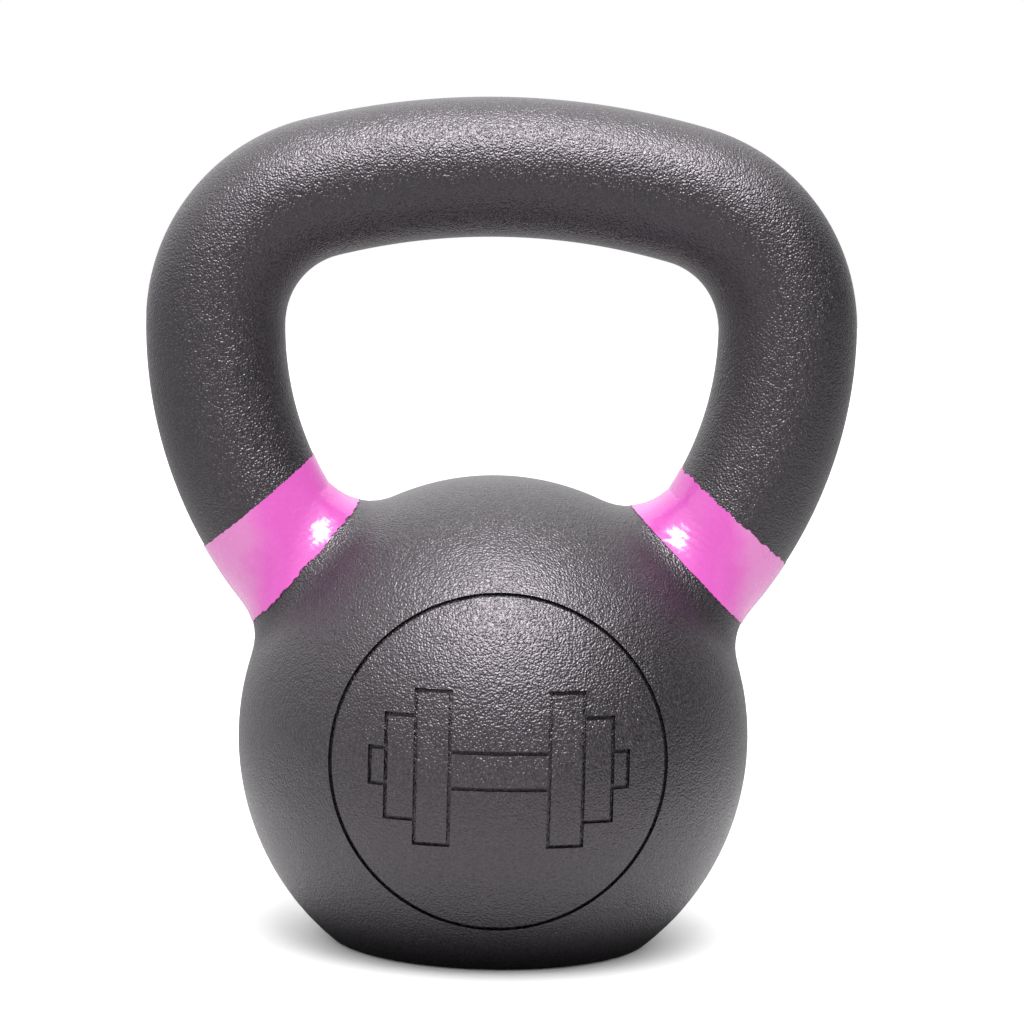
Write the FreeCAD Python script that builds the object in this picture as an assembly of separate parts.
import FreeCAD, Part
import math
import os

# An 8 kg kettlebell: one solid iron casting, its powder coat, and a painted
# colour band on each horn.  Millimetres, +Z up.  The origin is the centre of
# the flat base, on the floor.  The emblem faces -Y and the handle runs along X.

# Whole object, measured on the bare iron
OVERALL_HEIGHT = 196.8
HANDLE_WIDTH = 164.8

# Bell
BELL_DIAMETER = 119.0
BELL_HALF_HEIGHT = 60.8
BELL_CENTRE_HEIGHT = 48.0
BASE_EDGE_RADIUS = 3.0

# Handle: a round bar that follows five tangent arcs
BAR_DIAMETER = 31.8
TOP_ARC_RADIUS = 164.4
SHOULDER_ARC_RADIUS = 32.2
SIDE_ARC_RADIUS = 87.5
WIDEST_HEIGHT = 144.0
HORN_BLEND_RADIUS = 13.0

# Emblem: lines sunk into the front of the bell
EMBLEM_HEIGHT = 49.5
EMBLEM_RADIUS = 37.4
LINE_WIDTH = 1.5
LINE_DEPTH = 0.9
WEIGHT_BAR_LENGTH = 22.0
WEIGHT_BAR_THICKNESS = 8.0
INNER_PLATE_THICKNESS = 7.5
INNER_PLATE_HEIGHT = 34.0
OUTER_PLATE_THICKNESS = 6.5
OUTER_PLATE_HEIGHT = 23.0
END_STUB_LENGTH = 3.5

# Finishes
COAT_THICKNESS = 0.25
COAT_FOOT_HEIGHT = 0.5
BAND_PAINT_THICKNESS = 0.2
BAND_GAP_TO_BELL = 0.1
BAND_WIDTH = 16.3
BAND_LOWER_SLANT = 47.0
BAND_UPPER_SLANT = 41.0

IRON_DENSITY = 7.2e-6   # kg per cubic millimetre

X = FreeCAD.Vector(1, 0, 0)
Y = FreeCAD.Vector(0, 1, 0)
Z = FreeCAD.Vector(0, 0, 1)
FAR = 4 * OVERALL_HEIGHT    # reaches past the object from anywhere in it
TINY = 0.001                # how near counts as touching


def point(x, z):
    """A point of the object's middle plane, which holds the handle's arcs."""
    return FreeCAD.Vector(x, 0, z)


def shoulder_centre(top_centre, side_centre):
    """The centre of the shoulder arc that is tangent to the top and side arcs."""
    to_top = TOP_ARC_RADIUS - SHOULDER_ARC_RADIUS
    to_side = SIDE_ARC_RADIUS - SHOULDER_ARC_RADIUS
    line = side_centre - top_centre
    span = line.Length
    along = (to_top ** 2 - to_side ** 2 + span ** 2) / (2 * span)
    aside = math.sqrt(to_top ** 2 - along ** 2)
    line.normalize()
    return top_centre + line * along + Y.cross(line) * aside


def direction_angle(start, end):
    """The angle above +X of the line from start to end, in degrees."""
    return math.degrees(math.atan2(end.z - start.z, end.x - start.x))


def bar_arc(centre, arc_radius, start_angle, end_angle, bar_radius):
    """A length of round bar bent about centre, between two angles above +X."""
    start = math.radians(start_angle)
    outwards = point(math.cos(start), math.sin(start))
    along = Y.cross(outwards)
    section = Part.Face(Part.Wire(Part.makeCircle(bar_radius, centre + outwards * arc_radius, along)))
    return section.revolve(centre, -Y, end_angle - start_angle)


def handle_pieces(grow):
    """The right half of the handle bar, as solids that meet face to face."""
    bar = BAR_DIAMETER / 2 + grow
    top = point(0, OVERALL_HEIGHT - BAR_DIAMETER / 2 - TOP_ARC_RADIUS)
    side = point(HANDLE_WIDTH / 2 - BAR_DIAMETER / 2 - SIDE_ARC_RADIUS, WIDEST_HEIGHT)
    shoulder = shoulder_centre(top, side)
    top_to_shoulder = direction_angle(top, shoulder)
    shoulder_to_side = direction_angle(side, shoulder)
    root = -math.degrees(math.acos(-side.x / SIDE_ARC_RADIUS))
    return [
        bar_arc(top, TOP_ARC_RADIUS, top_to_shoulder, 90, bar),
        bar_arc(shoulder, SHOULDER_ARC_RADIUS, shoulder_to_side, top_to_shoulder, bar),
        bar_arc(side, SIDE_ARC_RADIUS, root, shoulder_to_side, bar),
    ]


def mirrored(shape):
    """The same shape on the other side of the object."""
    return shape.mirror(FreeCAD.Vector(0, 0, 0), X)


def bell(grow):
    """The bell: an ellipsoid cut flat, with a rounded edge round the cut."""
    across = BELL_DIAMETER / 2 + grow
    upright = BELL_HALF_HEIGHT + grow
    centre = point(0, BELL_CENTRE_HEIGHT)
    pole = centre + Z * upright
    rim = centre + Y * across
    if upright >= across:
        outline = Part.ArcOfEllipse(Part.Ellipse(pole, rim, centre), 0, math.pi)
    else:
        outline = Part.ArcOfEllipse(Part.Ellipse(rim, pole, centre), -math.pi / 2, math.pi / 2)
    axis = Part.LineSegment(centre - Z * upright, pole)
    half = Part.Face(Part.Wire([outline.toShape(), axis.toShape()]))
    whole = half.revolve(centre, Z, 360)
    below = Part.makeBox(FAR, FAR, FAR, FreeCAD.Vector(-FAR / 2, -FAR / 2, -FAR - grow))
    cut = whole.cut(below)
    base_edges = [edge for edge in cut.Edges if edge.BoundBox.ZMax < TINY - grow]
    return cut.makeFillet(BASE_EDGE_RADIUS + grow, base_edges)


def is_horn_root(edge, grow):
    """Whether an edge is where a horn's bar meets the bell."""
    across = BELL_DIAMETER / 2 + grow
    upright = BELL_HALF_HEIGHT + grow
    bar = BAR_DIAMETER / 2 + grow
    side_x = HANDLE_WIDTH / 2 - BAR_DIAMETER / 2 - SIDE_ARC_RADIUS
    first, last = edge.ParameterRange
    for step in (0.2, 0.5, 0.8):
        spot = edge.valueAt(first + (last - first) * step)
        level = spot.z - BELL_CENTRE_HEIGHT
        on_bell = math.hypot(math.hypot(spot.x, spot.y) / across, level / upright)
        ring = math.hypot(abs(spot.x) - side_x, spot.z - WIDEST_HEIGHT) - SIDE_ARC_RADIUS
        on_bar = math.hypot(ring, spot.y) / bar
        if abs(on_bell - 1) > TINY or abs(on_bar - 1) > TINY:
            return False
    return True


def plain_form(grow):
    """The whole outer form, offset outwards by grow, before its emblem is sunk."""
    right = handle_pieces(grow)
    left = [mirrored(piece) for piece in right]
    form = bell(grow).fuse(right + left)
    roots = [edge for edge in form.Edges if is_horn_root(edge, grow)]
    return form.makeFillet(HORN_BLEND_RADIUS - grow, roots)


def outline_frame(left, right, half_height, width):
    """A rectangle drawn as a line of the given width, level with the emblem's centre."""
    half = width / 2
    outer = Part.makeBox(right - left + width, FAR, 2 * half_height + width,
                         FreeCAD.Vector(left - half, -FAR, EMBLEM_HEIGHT - half_height - half))
    inner = Part.makeBox(right - left - width, FAR, 2 * half_height - width,
                         FreeCAD.Vector(left + half, -FAR, EMBLEM_HEIGHT - half_height + half))
    return outer.cut(inner)


def emblem_lines(width):
    """The emblem's lines, standing out of the front of the bell: a ring round a bar weight."""
    start = FreeCAD.Vector(0, 0, EMBLEM_HEIGHT)
    ring = Part.makeCylinder(EMBLEM_RADIUS + width / 2, FAR, start, -Y)
    ring = ring.cut(Part.makeCylinder(EMBLEM_RADIUS - width / 2, FAR, start, -Y))
    bar_end = WEIGHT_BAR_LENGTH / 2
    plate_joint = bar_end + INNER_PLATE_THICKNESS
    plate_end = plate_joint + OUTER_PLATE_THICKNESS
    stub_end = plate_end + END_STUB_LENGTH
    right = [
        outline_frame(bar_end, plate_joint, INNER_PLATE_HEIGHT / 2, width),
        outline_frame(plate_joint, plate_end, OUTER_PLATE_HEIGHT / 2, width),
        outline_frame(plate_end, stub_end, WEIGHT_BAR_THICKNESS / 2, width),
    ]
    left = [mirrored(frame) for frame in right]
    bar = outline_frame(-bar_end, bar_end, WEIGHT_BAR_THICKNESS / 2, width)
    return ring.fuse([bar] + right + left)


def finished_form(grow):
    """The outer form with its emblem, offset outwards by grow."""
    grooves = emblem_lines(LINE_WIDTH - 2 * grow).cut(bell(grow - LINE_DEPTH))
    return plain_form(grow).cut(grooves)


def half_space(slant, distance):
    """Everything past a plane that faces up and to the right, at distance from the bell's centre."""
    turn = FreeCAD.Rotation(Y, slant)
    towards = turn.multVec(Z)
    corner = turn.multVec(FreeCAD.Vector(-FAR / 2, -FAR / 2, 0))
    block = Part.makeBox(FAR, FAR, FAR)
    centre = point(0, BELL_CENTRE_HEIGHT)
    block.Placement = FreeCAD.Placement(centre + towards * distance + corner, turn)
    return block


def bell_reach(slant):
    """How far the bell reaches from its centre, in the direction slant away from +Z."""
    angle = math.radians(slant)
    return math.hypot(BELL_DIAMETER / 2 * math.sin(angle), BELL_HALF_HEIGHT * math.cos(angle))


def right_band():
    """The paint of the right horn's band, between its two masked edges."""
    painted_thickness = COAT_THICKNESS + BAND_PAINT_THICKNESS
    start = bell_reach(BAND_LOWER_SLANT) + painted_thickness + BAND_GAP_TO_BELL
    coated = plain_form(COAT_THICKNESS)
    painted = plain_form(painted_thickness)
    stretch = half_space(BAND_LOWER_SLANT, start).cut(half_space(BAND_UPPER_SLANT, start + BAND_WIDTH))
    right_side = Part.makeBox(FAR, FAR, FAR, FreeCAD.Vector(0, -FAR / 2, 0))
    return painted.common(stretch).common(right_side).cut(coated)


def single_solid(shape, name):
    """The one solid that shape holds."""
    if len(shape.Solids) != 1 or not shape.isValid():
        raise ValueError(name + " should be one valid solid")
    return shape.Solids[0]


casting = finished_form(0)
above_foot = Part.makeBox(FAR, FAR, FAR, FreeCAD.Vector(-FAR / 2, -FAR / 2, COAT_FOOT_HEIGHT))
coat = finished_form(COAT_THICKNESS).cut(casting).common(above_foot)
band = right_band()

nodes = {
    "iron_casting": casting,
    "powder_coat": coat,
    "right_colour_band": band,
    "left_colour_band": mirrored(band),
}

os.makedirs("parts", exist_ok=True)
for name, shape in nodes.items():
    solid = single_solid(shape, name)
    solid.exportStep("parts/" + name + ".step")
    box = solid.BoundBox
    print(name, "%.1f x %.1f x %.1f mm" % (box.XLength, box.YLength, box.ZLength),
          "volume %.0f mm3" % solid.Volume, "faces %d" % len(solid.Faces))
print("iron mass %.2f kg" % (casting.Volume * IRON_DENSITY))
